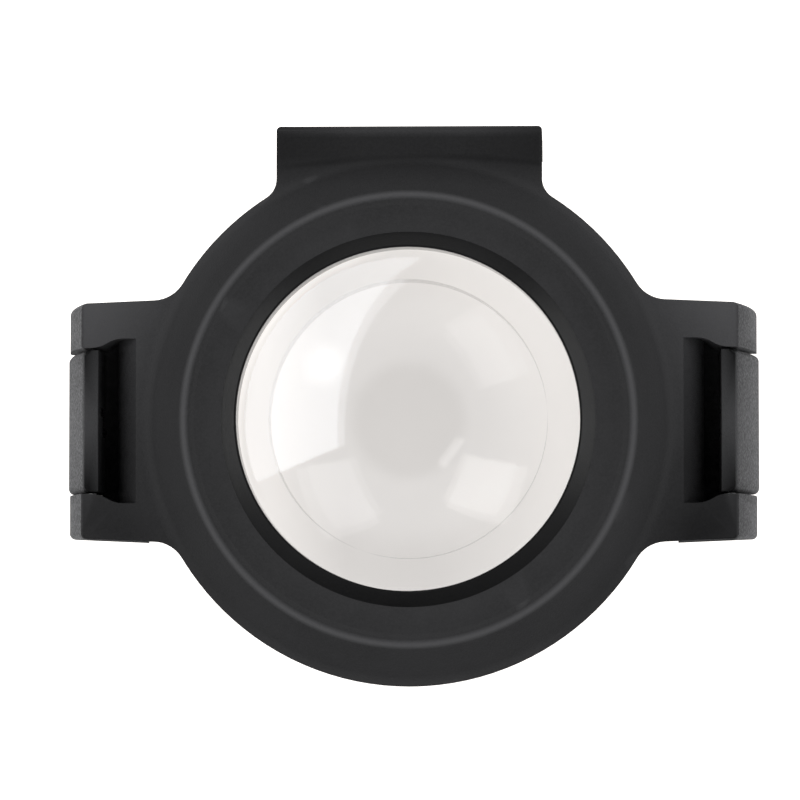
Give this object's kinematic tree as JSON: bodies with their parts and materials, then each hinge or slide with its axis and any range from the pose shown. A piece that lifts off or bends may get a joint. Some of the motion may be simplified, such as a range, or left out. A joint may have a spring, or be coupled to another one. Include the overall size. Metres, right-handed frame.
{
  "type": "clip-on dome lens guard",
  "caption": "Black clip-on lens guard: a round frame with a clear domed window, a top tab that reaches back over the camera, and a sprung press latch in each side ear.",
  "frame": {"origin": "on the optical axis, in the plane of the backing ring's rear face, where the lens bore starts", "axes": "+Z out of the dome, +Y towards the top tab, +X to the right of someone who looks at the dome"},
  "size_m": [0.0608, 0.0483, 0.0214],
  "materials": {
    "frame_black": "fine spark-eroded grain",
    "latch_black": "fine spark-eroded grain",
    "bezel_black": "satin",
    "backing_black": "smooth moulded",
    "dome_clear": "polished, coated clear plastic",
    "gasket_rubber": "matt",
    "cushion_rubber": "matt silicone",
    "pad_rubber": "matt silicone",
    "screw_black": "black oxide",
    "pin_steel": "ground",
    "spring_steel": "drawn wire"
  },
  "bodies": {
    "guard": {"outer_frame": "frame_black", "bezel_ring": "bezel_black", "dome": "dome_clear", "dome_gasket": "gasket_rubber", "backing_ring": "backing_black", "cushion_ring": "cushion_rubber", "frame_screws": "screw_black", "right_latch_pin": "pin_steel", "left_latch_pin": "pin_steel", "right_latch_spring": "spring_steel", "left_latch_spring": "spring_steel", "right_side_pad": "pad_rubber", "left_side_pad": "pad_rubber", "top_pad": "pad_rubber"},
    "right_latch": {"right_latch": "latch_black"},
    "left_latch": {"left_latch": "latch_black"}
  },
  "joints": [
    {"name": "right_latch_pivot", "type": "hinge", "parent": "guard", "child": "right_latch", "pos_m": [0.02775, 0, -0.0038], "axis": [0, -1, 0], "range_deg": [0, 20], "stiffness_Nm_per_rad": 0.03, "springref_deg": -20.05, "deforming": ["right_latch_spring"]},
    {"name": "left_latch_pivot", "type": "hinge", "parent": "guard", "child": "left_latch", "pos_m": [-0.02775, 0, -0.0038], "axis": [0, 1, 0], "range_deg": [0, 20], "stiffness_Nm_per_rad": 0.03, "springref_deg": -20.05, "deforming": ["left_latch_spring"]}
  ]
}
